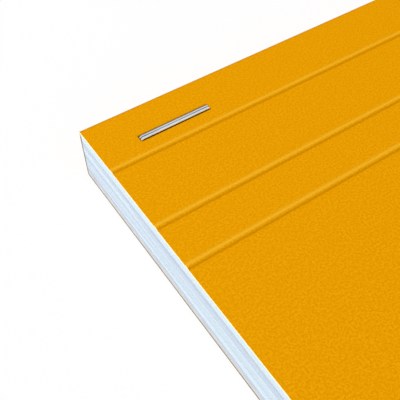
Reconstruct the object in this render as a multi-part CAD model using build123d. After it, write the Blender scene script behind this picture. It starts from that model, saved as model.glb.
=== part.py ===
from build123d import *
from math import degrees, sin
import os

# A stapled notepad, lying on its back. All sizes are in millimetres.
# The origin is the centre of the underside. +X runs across the pad, +Y towards the stapled head, +Z up.

# The closed pad
pad_width = 105.0
pad_length = 148.0

# The sheets, which lie in bundles whose cut edges stand a hair in or out
sheet_count = 80
sheet_thickness = 0.105
bundle_count = 8
bundle_waver = 0.06

# The stiff board behind the sheets
board_thickness = 1.2

# The cover: one card that goes from the front round the head and over the back
card_thickness = 0.3
fold_inside_radius = 0.1

# The staples: two round wires side by side, near each end of the head. A wire's round section is drawn
# with flats, because it goes round sixteen bends.
wire_diameter = 0.46
wire_sides = 16
wire_gap = 0.06
crown_length = 13.2
clinch_tip_gap = 4.0
staple_from_side = 7.0
staple_from_head = 7.0
staple_tilt = 0.1
bend_inside_radius = 0.12
crown_sink = 0.2
clinch_sink = 0.02
hole_clearance = 0.02

# The creases across the front, each a round-backed bead pressed up through the card, with a narrow hollow
# along each foot
staple_to_crease = 3.7
first_panel = 12.6
second_panel = 7.85
bead_width = 1.15
bead_foot = 0.15
bead_height = 0.16

# Levels above the underside
board_bottom = card_thickness
pages_bottom = board_bottom + board_thickness
pages_top = pages_bottom + sheet_count * sheet_thickness
cover_top = pages_top + card_thickness

# Places along the pad
head = pad_length / 2
foot = -pad_length / 2
fold_outside_radius = fold_inside_radius + card_thickness
sheets_head = head - fold_outside_radius
staple_line = head - staple_from_head
hinge_crease = staple_line - staple_to_crease
middle_crease = hinge_crease - first_panel
last_crease = middle_crease - second_panel

# The staple's own measures, from its middle and from the underside
wire_radius = wire_diameter / 2
wire_pitch = wire_diameter + wire_gap
leg_out = crown_length / 2 - wire_radius
crown_level = cover_top - crown_sink + wire_radius
clinch_level = clinch_sink + wire_radius


def bead_side(crease, side, level):
    """One side of a bead, up from the flat card to the crest: a small arc in the hollow at its foot, and a
    broad one over its back."""
    half = bead_width / 2
    flat = (crease + side * half, level)
    turn = (crease + side * (half - bead_foot), level + bead_height * bead_foot / half)
    crest = (crease, level + bead_height)
    return [TangentArc(flat, turn, tangent=(-side, 0)), TangentArc(crest, turn, tangent=(side, 0))]


def bead(crease, level):
    """A whole bead, from its foot side to its head side."""
    return bead_side(crease, -1, level) + bead_side(crease, 1, level)


def front_line(depth):
    """The front panel, seen from the end, at a depth under its outer face: from the foot, over the last and
    the middle crease, to the crest of the hinge crease."""
    level = cover_top - depth
    half = bead_width / 2
    return [
        Line((foot, level), (last_crease - half, level)),
        *bead(last_crease, level),
        Line((last_crease + half, level), (middle_crease - half, level)),
        *bead(middle_crease, level),
        Line((middle_crease + half, level), (hinge_crease - half, level)),
        *bead_side(hinge_crease, -1, level),
    ]


def wrap_line(depth):
    """The rest of the card, from the crest of the hinge crease round the head and along the back to the
    foot. The card bends round the head at an even thickness."""
    level = cover_top - depth
    face = head - depth
    high_turn = cover_top - fold_outside_radius
    low_turn = fold_outside_radius
    return [
        *bead_side(hinge_crease, 1, level),
        Line((hinge_crease + bead_width / 2, level), (sheets_head, level)),
        TangentArc((sheets_head, level), (face, high_turn), tangent=(1, 0)),
        Line((face, high_turn), (face, low_turn)),
        TangentArc((face, low_turn), (sheets_head, depth), tangent=(0, -1)),
        Line((sheets_head, depth), (foot, depth)),
    ]


def card(line):
    """A length of card as wide as the pad, between its outer face and its inner one."""
    outer = Wire(line(0))
    inner = Wire(line(card_thickness))
    ends = [Line(outer @ 0, inner @ 0), Line(outer @ 1, inner @ 1)]
    section = make_face(outer.edges() + inner.edges() + ends)
    return extrude(Plane.YZ * section, amount=pad_width / 2, both=True)


def layer(low, high, inset=0):
    """A flat layer of paper or board under the cover, with its three cut edges set in by the inset."""
    length = sheets_head - foot - inset
    middle = Pos(0, sheets_head - length / 2, (low + high) / 2)
    return middle * Box(pad_width - 2 * inset, length, high - low)


def page_block():
    """All the sheets as one solid. Its cut edges step in and out from one bundle to the next."""
    block = Part()
    rise = (pages_top - pages_bottom) / bundle_count
    for bundle in range(bundle_count):
        low = pages_bottom + bundle * rise
        block += layer(low, low + rise, inset=bundle_waver * sin(2.4 * bundle) ** 2)
    return block


def wire_line(spare=0):
    """The line that a staple wire follows: clinched end, leg, crown, leg and clinched end. Both clinched
    ends are longer by what is to spare."""
    tip = clinch_tip_gap / 2 - spare
    half = [(leg_out, crown_level), (leg_out, clinch_level), (tip, clinch_level)]
    corners = [(-x, z) for x, z in reversed(half)] + half
    return FilletPolyline(*[(x, 0, z) for x, z in corners], radius=bend_inside_radius + wire_radius)


def drawn_along(line, profile):
    """The profile drawn along a wire's line, with its long way across the wires: pulled along the straight
    runs and turned round the bends."""
    drawn = Part()
    for run in line.edges():
        start, way = run @ 0, run % 0
        section = Plane(start, x_dir=(0, 1, 0), z_dir=way) * profile
        if run.geom_type == GeomType.LINE:
            drawn += extrude(section, amount=run.length)
        else:
            spoke = start - run.arc_center
            turned = degrees(run.length / spoke.length)
            drawn += revolve(section, Axis(run.arc_center, spoke.cross(way)), turned)
    return drawn


def staple_channel():
    """The way that two wires press and pierce through the pad: a dent under the crown, a slot for each pair
    of legs, and grooves, open at the back, for the clinched ends."""
    width = wire_pitch + wire_diameter + 2 * hole_clearance
    height = wire_diameter + 2 * hole_clearance
    channel = drawn_along(wire_line(hole_clearance), Rectangle(width, height))
    inner = clinch_tip_gap / 2 - hole_clearance
    outer = crown_length / 2 + hole_clearance
    groove = Box(outer - inner, width, 2 * clinch_level)
    middle = (inner + outer) / 2
    return channel + Pos(-middle, 0, 0) * groove + Pos(middle, 0, 0) * groove


def staple_place(side):
    """Where a staple stands: side is -1 at the left end of the head and 1 at the right."""
    across = side * (pad_width / 2 - staple_from_side - crown_length / 2)
    return Pos(across, staple_line, 0) * Rot(0, 0, staple_tilt)


places = {"left": staple_place(-1), "right": staple_place(1)}
channels = [place * staple_channel() for place in places.values()]
wire = drawn_along(wire_line(), RegularPolygon(wire_radius, wire_sides))

parts = {
    "front_cover": card(front_line),
    "back_cover": card(wrap_line) - channels,
    "page_block": page_block() - channels,
    "back_board": layer(board_bottom, pages_bottom) - channels,
}
for end, place in places.items():
    parts[f"staple_{end}_wire_1"] = place * Pos(0, wire_pitch / 2, 0) * wire
    parts[f"staple_{end}_wire_2"] = place * Pos(0, -wire_pitch / 2, 0) * wire

os.makedirs("parts", exist_ok=True)
for name, part in parts.items():
    export_step(part, f"parts/{name}.step")
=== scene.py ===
from math import atan2, copysign, cos, pi, radians, sin
from random import Random

import bmesh
import bpy
from mathutils import Matrix, Vector, noise


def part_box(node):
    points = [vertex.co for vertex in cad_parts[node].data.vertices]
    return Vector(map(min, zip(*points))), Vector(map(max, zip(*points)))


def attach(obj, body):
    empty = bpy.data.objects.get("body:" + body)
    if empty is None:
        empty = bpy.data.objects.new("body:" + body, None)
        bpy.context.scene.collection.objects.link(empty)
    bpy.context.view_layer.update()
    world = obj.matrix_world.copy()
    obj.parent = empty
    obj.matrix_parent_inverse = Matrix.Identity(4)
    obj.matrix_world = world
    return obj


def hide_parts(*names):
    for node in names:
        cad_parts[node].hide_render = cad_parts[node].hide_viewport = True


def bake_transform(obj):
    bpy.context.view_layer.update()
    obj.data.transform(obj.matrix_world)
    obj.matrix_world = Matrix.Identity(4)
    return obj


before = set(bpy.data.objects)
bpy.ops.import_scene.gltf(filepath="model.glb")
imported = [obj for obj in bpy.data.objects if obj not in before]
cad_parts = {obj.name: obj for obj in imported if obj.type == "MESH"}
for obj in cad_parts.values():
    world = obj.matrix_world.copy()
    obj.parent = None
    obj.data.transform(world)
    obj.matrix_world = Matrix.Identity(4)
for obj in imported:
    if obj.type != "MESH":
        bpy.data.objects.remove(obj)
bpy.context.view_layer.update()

mm = 0.001


# The back board: one piece of grey board under the sheets, pressed from recycled pulp and cut together with
# them. Its solid has the right shape, so it only gets its finish: flakes of pulp that lie drawn out in the
# board, dark specks, and painted shade along its lower edge, where it meets the card and the floor.

class Socket:
    """An output in a tree of nodes. A sum or product of sockets adds the Math nodes that work it out."""

    def __init__(self, tree, output=None):
        self.tree = tree
        self.output = output

    def node(self, kind, settings=None, inputs=None, output=0):
        """Adds any other node, by its type, its settings, and the values or links of its sockets."""
        node = self.tree.nodes.new("ShaderNode" + kind)
        for name, value in (settings or {}).items():
            if name == "stops":
                while len(node.color_ramp.elements) < len(value):
                    node.color_ramp.elements.new(1.0)
                for element, (place, colour) in zip(node.color_ramp.elements, value):
                    element.position = place
                    element.color = colour
            else:
                setattr(node, name, value)
        for name, value in (inputs or {}).items():
            if isinstance(value, Socket):
                self.tree.links.new(value.output, node.inputs[name])
            else:
                node.inputs[name].default_value = value
        return Socket(self.tree, node.outputs[output] if len(node.outputs) else None)

    def math(self, operation, *values):
        return self.node("Math", {"operation": operation}, dict(enumerate(values)))

    def __add__(self, other):
        return self.math("ADD", self, other)

    __radd__ = __add__

    def __sub__(self, other):
        return self.math("SUBTRACT", self, other)

    def __rsub__(self, other):
        return self.math("SUBTRACT", other, self)

    def __mul__(self, other):
        return self.math("MULTIPLY", self, other)

    __rmul__ = __mul__

    def __abs__(self):
        return self.math("ABSOLUTE", self)

    def __mod__(self, other):
        return self.math("FLOORED_MODULO", self, other)

    def either(self, other):
        return self.math("MAXIMUM", self, other)

    def fade(self, start, end):
        """0 before start, 1 after end, and a smooth rise between them."""
        limits = {"Value": self, "From Min": start, "From Max": end}
        return self.node("MapRange", {"interpolation_type": "SMOOTHSTEP"}, limits)

    def mix(self, low, high):
        """The low colour where this mask is 0 and the high one where it is 1."""
        return self.node("Mix", {"data_type": "RGBA"}, {0: self, 6: low, 7: high}, output=2)

    def split(self):
        """The three numbers of a vector."""
        return [self.node("SeparateXYZ", None, {"Vector": self}, output=axis) for axis in range(3)]

    def grain(self, size, detail=2.0, stretch=(1, 1, 1)):
        """Noise from 0 to 1 at this place, whose spots are about as wide as size, in metres."""
        place = self.node("VectorMath", {"operation": "DIVIDE"}, {0: self, 1: stretch})
        sockets = {"Vector": place, "Scale": 1 / size, "Detail": detail, "Roughness": 0.55}
        return self.node("TexNoise", None, sockets)


def new_finish(name):
    """A new material with an empty tree, and the start of its nodes."""
    material = bpy.data.materials.new(name)
    material.use_nodes = True
    material.node_tree.nodes.clear()
    return material, Socket(material.node_tree)


def colour(red, green, blue):
    """A colour that is written as it looks on a screen, 0 to 255, as the light that Blender reckons with."""
    levels = [value / 255 for value in (red, green, blue)]
    return (*[v / 12.92 if v <= 0.04045 else ((v + 0.055) / 1.055) ** 2.4 for v in levels], 1.0)


def surface(start, base, roughness, height, depth, specular=0.3, metallic=0.0):
    """The shader of a finish. Its relief comes from height, whose full range is as deep as depth."""
    relief = start.node("Bump", None, {"Height": height, "Distance": depth, "Strength": 1.0})
    sockets = {
        "Base Color": base,
        "Roughness": roughness,
        "Metallic": metallic,
        "Specular IOR Level": specular,
        "Normal": relief,
    }
    shader = start.node("BsdfPrincipled", None, sockets)
    start.node("OutputMaterial", None, {"Surface": shader})


flake_size = 0.5 * mm
speck_size = 0.12 * mm
contact_shade_top = 0.6 * mm
grey_pulp = colour(190, 190, 194)
pale_pulp = colour(212, 211, 212)
dark_speck = colour(160, 157, 152)
board_contact_shade = colour(124, 114, 92)

grey_board, start = new_finish("grey_board")
place = start.node("TexCoord", output="Object")
flakes = place.grain(flake_size, 3.0, stretch=(5, 5, 1))
specks = place.grain(speck_size, 1.0)
pulp = flakes.fade(0.30, 0.70).mix(grey_pulp, pale_pulp)
pulp = (specks.fade(0.62, 0.74) * 0.5).mix(pulp, dark_speck)
# Painted shade: the lowest 0.6 mm of the board is mixed towards dark brown, in place of the shadow where the
# pad meets the floor.
contact_shade = 1 - place.split()[2].fade(contact_shade_top / 2, contact_shade_top)
pulp = (contact_shade * 0.7).mix(pulp, board_contact_shade)
surface(start, pulp, 0.85, flakes + 0.5 * specks, 0.03 * mm)
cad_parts["back_board"].material_slots[0].material = grey_board


# The sheets: 80 leaves of thin bluish-white writing paper. They were counted into bundles, knocked up and
# cut together, so a bundle stands in or out by a hair, and each leaf's edge is a fine line all round. The
# topmost leaf is a piece of its own, the first page.

sheet_count = 80
bundle_count = 8
bundle_waver = 0.045 * mm
bundle_turn = 2.4
leaf_waver = 0.022 * mm
drift = 0.015 * mm
drift_rate = 30
leaf_step = 0.61

block_low, block_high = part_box("page_block")
half_width = block_high.x
leaf_foot = block_low.y
leaf_head = block_high.y
leaf_rise = (block_high.z - block_low.z) / sheet_count
edge_zone = 0.5 * mm


def new_piece(name, mesh, finish, smooth_up_to=None):
    """Ends a bmesh and makes it an object, smooth where its faces meet at less than this many degrees."""
    data = bpy.data.meshes.new(name)
    mesh.to_mesh(data)
    mesh.free()
    if smooth_up_to is None:
        data.shade_flat()
    else:
        data.shade_smooth()
        data.set_sharp_from_angle(angle=radians(smooth_up_to))
    data.materials.append(finish)
    piece = bpy.data.objects.new(name, data)
    bpy.context.scene.collection.objects.link(piece)
    return piece


def verts_of(geometry):
    return [g for g in geometry if isinstance(g, bmesh.types.BMVert)]


def faces_of(geometry):
    return [g for g in geometry if isinstance(g, bmesh.types.BMFace)]


def edges_of(geometry):
    return [g for g in geometry if isinstance(g, bmesh.types.BMEdge)]


def lift(mesh, faces, height):
    """Raises a stretch of faces on a wall of its own, and gives the raised ones."""
    stretch = faces + list(dict.fromkeys(edge for face in faces for edge in face.edges))
    raised = bmesh.ops.extrude_face_region(mesh, geom=stretch)["geom"]
    bmesh.ops.translate(mesh, vec=(0, 0, height), verts=verts_of(raised))
    return faces_of(raised)


def stand_in(verts, leaf, inset):
    """Moves the cut edges of a leaf in by its inset, and by a slow drift along each edge."""
    for vert in verts:
        x, y = vert.co.x, vert.co.y
        sway = 0.5 + 0.5 * noise.noise((x * drift_rate, y * drift_rate, leaf * leaf_step))
        gap = inset + drift * min(1.0, max(0.0, sway))
        if abs(x) > half_width - edge_zone:
            vert.co.x = copysign(half_width - gap, x)
        if y < leaf_foot + edge_zone:
            vert.co.y = leaf_foot + gap
        elif y > leaf_head - edge_zone:
            vert.co.y = leaf_head - gap


dice = Random(11)
leaves = bmesh.new()
middle = Vector((0, (block_low.y + block_high.y) / 2, block_low.z))
shape = Matrix.Diagonal((half_width, (block_high.y - block_low.y) / 2, 1, 1))
shape = Matrix.Translation(middle) @ shape
bmesh.ops.create_grid(leaves, x_segments=12, y_segments=16, size=1, matrix=shape)
top = leaves.faces[:]
for leaf in range(sheet_count - 1):
    bundle = leaf * bundle_count // sheet_count
    inset = bundle_waver * sin(bundle_turn * bundle) ** 2 + leaf_waver * dice.random() ** 2
    stand_in({vert for face in top for vert in face.verts}, leaf, inset)
    top = lift(leaves, top, leaf_rise)
    if leaf < sheet_count - 2:
        top = lift(leaves, top, 0)
bmesh.ops.recalc_face_normals(leaves, faces=leaves.faces[:])

leaf_line = 0.26 * mm
gap_shade_size = 0.55 * mm
wander_size = 9 * mm
lit_paper = colour(209, 223, 232)
half_lit_paper = colour(199, 213, 223)
shaded_paper = colour(184, 194, 206)
gap_shade_blue = colour(186, 193, 214)
half_shaded_paper = colour(191, 203, 215)
# Painted light and shade: up the block the cut edges are coloured in lit, half-lit and shaded bands of one
# paper, and the fine leaf lines take the lit colour.
light_and_shade_stops = [
    (0.00, shaded_paper),
    (0.07, shaded_paper),
    (0.10, lit_paper),
    (0.18, lit_paper),
    (0.22, half_lit_paper),
    (0.49, half_lit_paper),
    (0.52, lit_paper),
    (0.60, lit_paper),
    (0.64, half_shaded_paper),
    (0.70, half_shaded_paper),
    (0.73, shaded_paper),
    (0.77, shaded_paper),
    (0.80, lit_paper),
    (1.00, lit_paper),
]

cut_paper, start = new_finish("cut_paper")
place = start.node("TexCoord", output="Object")
height = place.split()[2]
wander = place.grain(wander_size, 1.0) - 0.5
level = (height - block_low.z) * (1 / (block_high.z - block_low.z)) + 0.03 * wander
bundles = start.node("ValToRGB", {"stops": light_and_shade_stops}, {"Fac": level})
leaf_lines = place.grain(leaf_line, 2.0, stretch=(150, 150, 1))
# Painted shade: fine bluish lines in the gaps between leaves, left off the topmost bundle.
gap_shade_lines = place.grain(gap_shade_size, 2.0, stretch=(90, 90, 1))
paper = (leaf_lines.fade(0.42, 0.58) * 0.45).mix(bundles, lit_paper)
below_top = 1 - level.fade(0.77, 0.84)
paper = (gap_shade_lines.fade(0.53, 0.57) * 0.65 * below_top).mix(paper, gap_shade_blue)
surface(start, paper, 0.8, leaf_lines, 0.02 * mm, specular=0.25)

sheets = new_piece("sheets", leaves, cut_paper)
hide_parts("page_block")
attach(sheets, "pad")


# The first page: the top leaf, ruled in pale blue, with a row of fine cuts across it under the staples, so
# that it tears off clean. It lies on the others and shows when the cover is open.

first_page_thickness = 0.105 * mm
tear_line = 61.6 * mm
cut_width = 0.12 * mm
cut_length = 1.1 * mm
cut_pitch = 1.6 * mm
rule_pitch = 8 * mm
rule_width = 0.16 * mm
first_rule = 44 * mm
no_distance = 1e-9

page = bmesh.new()
corner = page.verts.new((-half_width, leaf_foot, block_high.z))
cut_count = int(2 * half_width / cut_pitch)
first_cut = -cut_count * cut_pitch / 2 + (cut_pitch - cut_length) / 2
stops_across = []
for cut in range(cut_count):
    stops_across += [first_cut + cut * cut_pitch, first_cut + cut * cut_pitch + cut_length]
stops_across.append(half_width)
tip = corner
for x in stops_across:
    tip = bmesh.ops.extrude_vert_indiv(page, verts=[tip])["verts"][0]
    tip.co.x = x
edge = page.edges[:]
for y in (tear_line - cut_width / 2, tear_line + cut_width / 2, block_high.y):
    pulled = bmesh.ops.extrude_edge_only(page, edges=edge)["geom"]
    for vert in verts_of(pulled):
        vert.co.y = y
    edge = [e for e in edges_of(pulled) if abs(e.verts[0].co.y - e.verts[1].co.y) < no_distance]
page.normal_update()
cuts = []
for face in page.faces:
    centre = face.calc_center_median()
    steps = (centre.x - first_cut) / cut_pitch
    in_row = abs(centre.y - tear_line) < cut_width / 2 and 0 < steps < cut_count
    if in_row and steps % 1 < cut_length / cut_pitch:
        cuts.append(face)
bmesh.ops.delete(page, geom=cuts, context="FACES")


def face_outwards(mesh):
    """Turns an open skin over where its highest face looks down."""
    mesh.normal_update()
    if max(mesh.faces, key=lambda face: face.calc_center_median().z).normal.z < 0:
        bmesh.ops.reverse_faces(mesh, faces=mesh.faces[:])


face_outwards(page)
bmesh.ops.solidify(page, geom=page.faces[:], thickness=first_page_thickness)

fibre_size = 0.3 * mm
cloud_size = 6 * mm
page_white = colour(236, 242, 247)
fibre_white = colour(243, 247, 250)
cloud_white = colour(233, 240, 247)
rule_blue = colour(140, 172, 208)

ruled_paper, start = new_finish("ruled_paper")
place = start.node("TexCoord", output="Object")
fibres = place.grain(fibre_size, 3.0)
cloud = place.grain(cloud_size, 2.0)
white = fibres.fade(0.3, 0.7).mix(page_white, fibre_white)
white = (cloud.fade(0.4, 0.7) * 0.5).mix(white, cloud_white)
along = place.split()[1]
from_rule = abs((along - first_rule + rule_pitch / 2) % rule_pitch - rule_pitch / 2)
on_rule = 1 - from_rule.fade(0.35 * rule_width, 0.6 * rule_width)
below_first = 1 - along.fade(first_rule, first_rule + mm)
ruled = (on_rule * below_first * (0.45 + 0.3 * fibres)).mix(white, rule_blue)
surface(start, ruled, 0.75, fibres, 0.012 * mm, specular=0.25)

first_page = new_piece("first_page", page, ruled_paper)
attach(first_page, "pad")


# The cover: one card, dyed orange outside and white inside, with a cream core painted dark brown at the back
# as shade.
# It goes from the front round the head and over the back, and three beads are pressed up through it where
# it bends. Its mesh is two stretches that meet beside the first bead, because only the front one turns.

card_thickness = 0.3 * mm
fold_radius = 0.4 * mm
bead_width = 1.15 * mm
bead_foot = 0.15 * mm
bead_height = 0.16 * mm
beside_bead = 0.25 * mm
staple_to_crease = 3.7 * mm
first_panel = 12.6 * mm
second_panel = 7.85 * mm
staple_line = 67.0 * mm
staple_across = 38.9 * mm
staple_tilt = radians(0.1)
pressed_zone = 1.6 * mm
hair = 0.01 * mm

back_low, back_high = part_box("back_cover")
cover_top = back_high.z - bead_height
head = back_high.y
foot = back_low.y
hinge_crease = staple_line - staple_to_crease
creases = [hinge_crease - first_panel - second_panel, hinge_crease - first_panel, hinge_crease]

bead_turn = 2 * atan2(bead_height, bead_width / 2)
foot_radius = bead_foot / sin(bead_turn)
crest_radius = (bead_width / 2 - bead_foot) / sin(bead_turn)


class CardStretch:
    """A stretch of the card. It is drawn as its outer line along the left edge, then pulled across the pad
    and given its thickness. Each vertex keeps the length of card from the foot of the front."""

    def __init__(self, y, z, length):
        self.mesh = bmesh.new()
        self.length_along = self.mesh.verts.layers.float.new("length_along")
        self.bruise = self.mesh.verts.layers.float.new("bruise")
        self.card_place = self.mesh.verts.layers.float_vector.new("card_place")
        self.tip = self.mesh.verts.new((-half_width, y, z))
        self.tip[self.length_along] = length

    def length(self):
        return self.tip[self.length_along]

    def draw_to(self, y, z, cuts=1):
        """Draws the line straight on to a point, in this many equal lengths."""
        start = self.tip.co.copy()
        for step in range(1, cuts + 1):
            drawn = bmesh.ops.extrude_vert_indiv(self.mesh, verts=[self.tip])["verts"][0]
            drawn.co = start.lerp(Vector((-half_width, y, z)), step / cuts)
            drawn[self.length_along] = self.length() + (drawn.co - self.tip.co).length
            self.tip = drawn

    def draw_round(self, y, z, angle, steps):
        """Draws the line on round a centre, by an angle that is positive where the line turns up."""
        before = set(self.mesh.verts)
        centre = Vector((-half_width, y, z))
        step_length = (self.tip.co - centre).length * abs(angle) / steps
        at_start = self.length()
        turned = bmesh.ops.spin(
            self.mesh, geom=[self.tip], cent=centre, axis=(1, 0, 0), angle=angle, steps=steps,
        )
        self.tip = verts_of(turned["geom_last"])[0]
        for step, vert in enumerate([v for v in self.mesh.verts if v not in before], 1):
            vert[self.length_along] = at_start + step * step_length

    def widen(self, stops_across):
        """Pulls the line across the pad and gives the card its thickness, inwards."""
        edge = self.mesh.edges[:]
        for x in stops_across:
            pulled = bmesh.ops.extrude_edge_only(self.mesh, edges=edge)["geom"]
            for vert in verts_of(pulled):
                vert.co.x = x
            across = [abs(e.verts[0].co.x - e.verts[1].co.x) for e in edges_of(pulled)]
            edge = [e for e, width in zip(edges_of(pulled), across) if width < no_distance]
        face_outwards(self.mesh)
        self.outer = set(self.mesh.verts)
        bmesh.ops.solidify(self.mesh, geom=self.mesh.faces[:], thickness=card_thickness)

    def mark_places(self):
        """Gives each vertex its place on the flat card, and its depth below the outer face."""
        for vert in self.mesh.verts:
            depth = 0 if vert in self.outer else card_thickness
            vert[self.card_place] = (vert.co.x, vert[self.length_along], depth)


front_card = CardStretch(foot, cover_top, 0.0)
crease_lengths = []
for crease in creases:
    front_card.draw_to(crease - bead_width / 2 - beside_bead, cover_top)
    front_card.draw_to(crease - bead_width / 2, cover_top)
    front_card.draw_round(crease - bead_width / 2, cover_top + foot_radius, bead_turn, 5)
    front_card.draw_round(crease, cover_top + bead_height - crest_radius, -bead_turn, 10)
    crease_lengths.append(front_card.length())
    front_card.draw_round(crease, cover_top + bead_height - crest_radius, -bead_turn, 10)
    front_card.draw_round(crease + bead_width / 2, cover_top + foot_radius, bead_turn, 5)
    front_card.draw_to(crease + bead_width / 2 + beside_bead, cover_top)

back_card = CardStretch(hinge_crease + bead_width / 2 + beside_bead, cover_top, front_card.length())
back_card.draw_to(staple_line - pressed_zone, cover_top)
back_card.draw_to(staple_line + pressed_zone, cover_top, cuts=48)
back_card.draw_to(head - fold_radius - beside_bead, cover_top)
back_card.draw_to(head - fold_radius, cover_top)
fold_start = back_card.length()
back_card.draw_round(head - fold_radius, cover_top - fold_radius, -pi / 2, 10)
upper_fold_end = back_card.length()
back_card.draw_to(head, fold_radius)
lower_fold_start = back_card.length()
back_card.draw_round(head - fold_radius, fold_radius, -pi / 2, 10)
fold_end = back_card.length()
back_card.draw_to(head - fold_radius - beside_bead, 0)
back_card.draw_to(staple_line + pressed_zone, 0)
back_card.draw_to(staple_line - pressed_zone, 0, cuts=32)
back_card.draw_to(foot, 0)

to_leg = [-7.3, -7.0, -6.8, -6.7, -6.6, -6.5, -6.4, -6.3, -6.1, -5.7]
to_tip = [-4.7, -3.7, -2.7, -2.2, -2.0, -1.8, -1.6, -1.4]
near_staple = to_leg + to_tip + [0.0] + [-offset for offset in reversed(to_leg + to_tip)]
stops_across = [side * staple_across + offset * mm for side in (-1, 1) for offset in near_staple]
for card in (front_card, back_card):
    card.widen(stops_across + [half_width])


def rise(value, start, end):
    """0 before start, 1 after end, and a smooth rise between them."""
    share = min(1.0, max(0.0, (value - start) / (end - start)))
    return share * share * (3 - 2 * share)


def beside_staple(x, y):
    """How far a place lies from the middle of the nearer staple, and how far from its line towards the head,
    in millimetres."""
    gap = Vector((x - copysign(staple_across, x), y - staple_line))
    ahead = gap.x * cos(staple_tilt) + gap.y * sin(staple_tilt)
    aside = gap.y * cos(staple_tilt) - gap.x * sin(staple_tilt)
    return abs(ahead) / mm, aside / mm


bed_depth = 0.25 * mm
bed_end = (6.35, 6.70)
bed_walls = ((0.52, 0.74), (0.54, 0.84))
# Painted shadow: the card is painted dark brown between these walls beside each crown, where the shadow of
# the wires and the gap beside them fall.
trough_shade_walls = ((0.48, 0.72), (0.58, 0.80))
dent_depth = 0.53 * mm
dent_tip = (1.55, 2.0)
dent_leg = (6.5, 6.95)
dent_wall = (0.38, 0.88)
squeezed_card = 0.03 * mm


def crown_bed(x, y, foot_side, head_side):
    """1 in the bed that a staple's crown has pressed, and 0 beyond its two walls, each given by where it
    starts and ends."""
    ahead, aside = beside_staple(x, y)
    return (1 - rise(-aside, *foot_side)) * (1 - rise(aside, *head_side)) * (1 - rise(ahead, *bed_end))


def clinch_dent(x, y):
    """How deep the bent-over ends have pressed the back: they lie in it with their sides buried."""
    ahead, aside = beside_staple(x, y)
    trough = rise(ahead, *dent_tip) * (1 - rise(ahead, *dent_leg))
    return dent_depth * (1 - rise(abs(aside), *dent_wall)) * trough


for vert in back_card.mesh.verts:
    x, y, z = vert.co
    if vert in back_card.outer and z > cover_top - hair:
        vert.co.z -= bed_depth * crown_bed(x, y, *bed_walls)
        vert[back_card.bruise] = crown_bed(x, y, *trough_shade_walls)
    elif vert in back_card.outer and z < hair:
        vert.co.z += clinch_dent(x, y)
    elif z < card_thickness + hair and y > staple_line - pressed_zone:
        vert.co.z = max(z, clinch_dent(x, y) + squeezed_card)
for card in (front_card, back_card):
    card.mark_places()

tooth_size = 0.30 * mm
mottle_size = 2.2 * mm
flank = 0.42 * mm
dye_depth = 0.035 * mm
deep_orange = colour(224, 149, 0)
light_orange = colour(240, 166, 8)
mottled_orange = colour(229, 154, 0)
head_flank_highlight_orange = colour(232, 182, 48)
foot_flank_shade_orange = colour(214, 138, 0)
fold_shade_orange = colour(178, 117, 6)
trough_shade_brown = colour(92, 58, 8)
core_cream = colour(253, 234, 150)
core_pale = colour(255, 243, 178)
dark_edge_shade = colour(78, 62, 26)
light_edge_shade = colour(110, 94, 54)
inside_white = colour(243, 243, 239)
inside_cloud = colour(236, 236, 231)

orange_card, start = new_finish("orange_card")
place = start.node("Attribute", {"attribute_name": "card_place"}, output="Vector")
across, along, depth = place.split()
tooth = place.grain(tooth_size, 2.0)
mottle = place.grain(mottle_size, 2.0)
dye_and_painted_light = tooth.fade(0.38, 0.64).mix(deep_orange, light_orange)
dye_and_painted_light = (mottle.fade(0.35, 0.70) * 0.35).mix(dye_and_painted_light, mottled_orange)
head_flank = abs(along - crease_lengths[0] - flank)
foot_flank = abs(along - crease_lengths[0] + flank)
for crease_length in crease_lengths[1:]:
    head_flank = head_flank.math("MINIMUM", head_flank, abs(along - crease_length - flank))
    foot_flank = foot_flank.math("MINIMUM", foot_flank, abs(along - crease_length + flank))
# Painted highlight: on the head flank of each bead, which faces the lamp, the orange is mixed towards a
# paler, yellower orange.
head_flank_highlight = (1 - head_flank.fade(0.10 * mm, 0.60 * mm)) * (0.35 + 0.3 * tooth)
dye_and_painted_light = head_flank_highlight.mix(dye_and_painted_light, head_flank_highlight_orange)
# Painted shade: on the foot flank of each bead, turned from the lamp, the orange is mixed towards a darker
# orange.
foot_flank_shade = (1 - foot_flank.fade(0.05 * mm, 0.35 * mm)) * 0.3
dye_and_painted_light = foot_flank_shade.mix(dye_and_painted_light, foot_flank_shade_orange)
# Painted shadow: dark brown in the crown's bed and on its walls, beside the wires.
trough_shaded = start.node("Attribute", {"attribute_name": "bruise"}, output="Fac")
dye_and_painted_light = (trough_shaded * 0.8).mix(dye_and_painted_light, trough_shade_brown)
# Painted shade: the orange is darkened across both folds at the head, where the card rounds away from the
# light.
upper_fold = abs(along - (fold_start + upper_fold_end) / 2)
lower_fold = abs(along - (lower_fold_start + fold_end) / 2)
fold_shade = 1 - upper_fold.math("MINIMUM", upper_fold, lower_fold).fade(0.1 * mm, 0.6 * mm)
dye_and_painted_light = (fold_shade * 0.55).mix(dye_and_painted_light, fold_shade_orange)
core = tooth.fade(0.3, 0.7).mix(core_cream, core_pale)
# Painted shade: past the upper fold, round the head and along the back, the cut edge's core is mixed to dark
# brown, in place of the shadow where the pad lies on the floor.
past_fold = along.fade(upper_fold_end, upper_fold_end + mm)
core = (past_fold * 0.9).mix(core, tooth.mix(dark_edge_shade, light_edge_shade))
inside = depth.fade(0.96 * card_thickness, 0.99 * card_thickness)
outside = 1 - (depth + 0.03 * mm * (tooth - 0.5)).fade(dye_depth - 0.02 * mm, dye_depth)
plain = (mottle.fade(0.3, 0.7) * 0.5).mix(inside_white, inside_cloud)
base = outside.mix(inside.mix(core, plain), dye_and_painted_light)
surface(start, base, 0.66 + 0.1 * tooth, tooth + 0.5 * mottle, 0.022 * mm, specular=0.0)

cover_front = new_piece("cover_front", front_card.mesh, orange_card, smooth_up_to=40)
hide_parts("front_cover")
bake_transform(cover_front)

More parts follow.
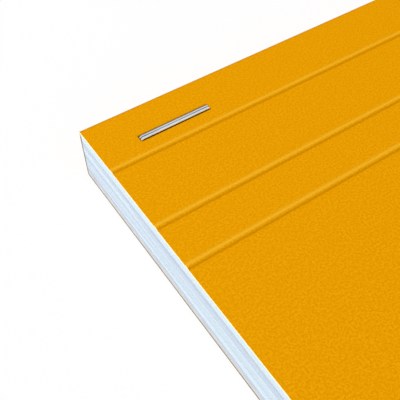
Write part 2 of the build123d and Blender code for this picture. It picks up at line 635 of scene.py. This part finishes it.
cover_back = new_piece("cover_back", back_card.mesh, orange_card, smooth_up_to=40)
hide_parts("back_cover")
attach(cover_back, "pad")


# The staples: near each end of the head, two round steel wires side by side go down through everything,
# and their ends are bent over towards each other on the back. The wire is bright galvanised steel with fine
# drawing lines, with painted shade where the two meet and along its side towards the head.

wire_radius = 0.23 * mm
wire_pitch = 0.52 * mm
leg_out = 6.37 * mm
crown_level = cover_top - 0.20 * mm + wire_radius
clinch_level = 0.02 * mm + wire_radius
clinch_tip = 2.0 * mm
bend_radius = 0.12 * mm + wire_radius
bend_steps = 10
wire_sides = 20
blunting = 0.06 * mm

drawing_line = 0.05 * mm
zinc_cloud = 0.8 * mm
steel_grey = colour(204, 208, 215)
steel_white = colour(229, 233, 237)
zinc_grey = colour(190, 195, 204)
gap_shade_grey = colour(112, 122, 140)
head_side_shade = colour(112, 94, 70)

drawn_steel, start = new_finish("drawn_steel")
place = start.node("TexCoord", output="Object")
lines = place.grain(drawing_line, 2.0, stretch=(40, 1, 1))
cloud = place.grain(zinc_cloud, 2.0, stretch=(3, 1, 1))
steel = lines.fade(0.35, 0.65).mix(steel_grey, steel_white)
steel = (cloud.fade(0.45, 0.75) * 0.5).mix(steel, zinc_grey)
across, along = place.split()[:2]
aside = along - staple_line
ahead = abs(abs(across) - staple_across)
# Painted shade: between the two wires the steel is mixed towards dark grey, most near the ends.
in_gap = 1 - abs(aside).fade(0.03 * mm, 0.14 * mm)
steel = (in_gap * (0.3 + 0.45 * ahead.fade(2.5 * mm, 6.0 * mm))).mix(steel, gap_shade_grey)
# Painted shade and painted dark reflection: on each wire's side towards the head the steel is mixed towards
# dark brown.
head_side_shaded = aside.fade(wire_pitch / 2 - 0.5 * wire_radius, wire_pitch / 2 + 0.2 * wire_radius)
steel = (head_side_shaded * 0.85).mix(steel, head_side_shade)
surface(start, steel, 0.26 + 0.16 * lines, lines, 0.004 * mm, metallic=1.0, specular=0.5)


def bent_wire(offset):
    """One wire along X round the origin, this far towards the head: clinched end, leg, crown, leg and
    clinched end."""
    wire = bmesh.new()
    turn_out = leg_out - bend_radius
    facing = Matrix.Translation((-clinch_tip, offset, clinch_level)) @ Matrix.Rotation(pi / 2, 4, "Y")
    bmesh.ops.create_circle(wire, cap_ends=True, segments=wire_sides, radius=wire_radius, matrix=facing)
    blunt = wire.faces[:]
    ring = wire.edges[:]

    def pull_to(x, z):
        nonlocal ring
        pulled = bmesh.ops.extrude_edge_only(wire, edges=ring)["geom"]
        ends = verts_of(pulled)
        centre = sum((vert.co for vert in ends), Vector()) / len(ends)
        bmesh.ops.translate(wire, verts=ends, vec=Vector((x, offset, z)) - centre)
        ring = [e for e in edges_of(pulled) if e.verts[0] in ends and e.verts[1] in ends]

    def bend_round(x, z):
        nonlocal ring
        centre = (x, offset, z)
        bent = bmesh.ops.spin(wire, geom=ring, cent=centre, axis=(0, 1, 0), angle=pi / 2, steps=bend_steps)
        ring = edges_of(bent["geom_last"])

    pull_to(-turn_out, clinch_level)
    bend_round(-turn_out, clinch_level + bend_radius)
    pull_to(-leg_out, crown_level - bend_radius)
    bend_round(-turn_out, crown_level - bend_radius)
    pull_to(turn_out, crown_level)
    bend_round(turn_out, crown_level - bend_radius)
    pull_to(leg_out, clinch_level + bend_radius)
    bend_round(turn_out, clinch_level + bend_radius)
    pull_to(clinch_tip, clinch_level)
    blunt += bmesh.ops.contextual_create(wire, geom=ring)["faces"]
    rims = list({edge for face in blunt for edge in face.edges})
    bmesh.ops.bevel(
        wire, geom=rims, offset=blunting, offset_type="OFFSET", segments=3, profile=0.5,
        affect="EDGES", material=-1,
    )
    bmesh.ops.recalc_face_normals(wire, faces=wire.faces[:])
    return wire


for end, side in (("left", -1), ("right", 1)):
    stand = Matrix.Translation((side * staple_across, staple_line, 0))
    stand = stand @ Matrix.Rotation(staple_tilt, 4, "Z")
    for number, offset in ((1, wire_pitch / 2), (2, -wire_pitch / 2)):
        wire = bent_wire(offset)
        bmesh.ops.transform(wire, matrix=stand, verts=wire.verts[:])
        piece = new_piece(f"{end}_staple_wire_{number}", wire, drawn_steel, smooth_up_to=40)
        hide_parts(f"staple_{end}_wire_{number}")
        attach(piece, "pad")


# The studio: a pale floor under an even white sky, and one large soft lamp high up at the head and to the
# left, which draws out the beads and isn't mirrored in the wires. A lens or a wire sees the sky as white,
# and the floor as nearly white with the pad's shadow on it.

sky_strength = 0.535
key_power = 14.5
key_size = 1.3
key_place = Vector((-0.78, 0.65, 0.81))
floor_size = 6.0
floor_paint = (0.94, 0.94, 0.94, 1)
floor_white = 0.80
plain_white = (1, 1, 1, 1)

world = bpy.data.worlds.new("sky")
bpy.context.scene.world = world
world.use_nodes = True
world.node_tree.nodes.clear()
start = Socket(world.node_tree)


def seen_by_eye(start):
    """1 for what the camera, a reflection or a clear piece sees, and 0 for what lights a surface."""
    eye = start.node("LightPath", output="Is Camera Ray")
    mirror = start.node("LightPath", output="Is Glossy Ray")
    glass = start.node("LightPath", output="Is Transmission Ray")
    return eye.either(mirror).either(glass)


strength = sky_strength + (1 - sky_strength) * seen_by_eye(start)
light = start.node("Background", None, {"Color": plain_white, "Strength": strength})
start.node("OutputWorld", None, {"Surface": light})

floor_finish, start = new_finish("pale_floor")
painted = start.node("BsdfDiffuse", None, {"Color": floor_paint})
glowing = start.node("Emission", None, {"Color": plain_white, "Strength": 1.0})
share = seen_by_eye(start) * floor_white
whitened = start.node("MixShader", None, {0: share, 1: painted, 2: glowing})
start.node("OutputMaterial", None, {"Surface": whitened})
ground = bmesh.new()
bmesh.ops.create_grid(ground, x_segments=1, y_segments=1, size=floor_size / 2)
floor = new_piece("floor", ground, floor_finish)

lamp = bpy.data.lights.new("key_lamp", "AREA")
lamp.shape = "DISK"
lamp.size = key_size
lamp.energy = key_power
key = bpy.data.objects.new("key_lamp", lamp)
aim = (-key_place).to_track_quat("-Z", "Y").to_matrix().to_4x4()
key.matrix_world = Matrix.Translation(key_place) @ aim
key.visible_glossy = False
bpy.context.scene.collection.objects.link(key)
bpy.context.scene.view_settings.view_transform = "Standard"


# The camera stands close by the pad's left side, halfway along, and looks down at the left end of the head.

camera_place = (-75.94 * mm, 3.54 * mm, 79.48 * mm)
camera_turn = -33.17
camera_stoop = 50.45
camera_roll = -1.05

camera_data = bpy.data.cameras.new("camera")
camera_data.sensor_width = 36
camera_data.lens = 56.57
camera_data.clip_start = 5 * mm
camera_data.clip_end = 50
camera = bpy.data.objects.new("camera", camera_data)
heading = Matrix.Rotation(radians(camera_turn), 4, "Z")
tilt = Matrix.Rotation(radians(90 - camera_stoop), 4, "X")
roll = Matrix.Rotation(radians(camera_roll), 4, "Z")
camera.matrix_world = Matrix.Translation(camera_place) @ heading @ tilt @ roll
bpy.context.scene.collection.objects.link(camera)
bpy.context.scene.camera = camera
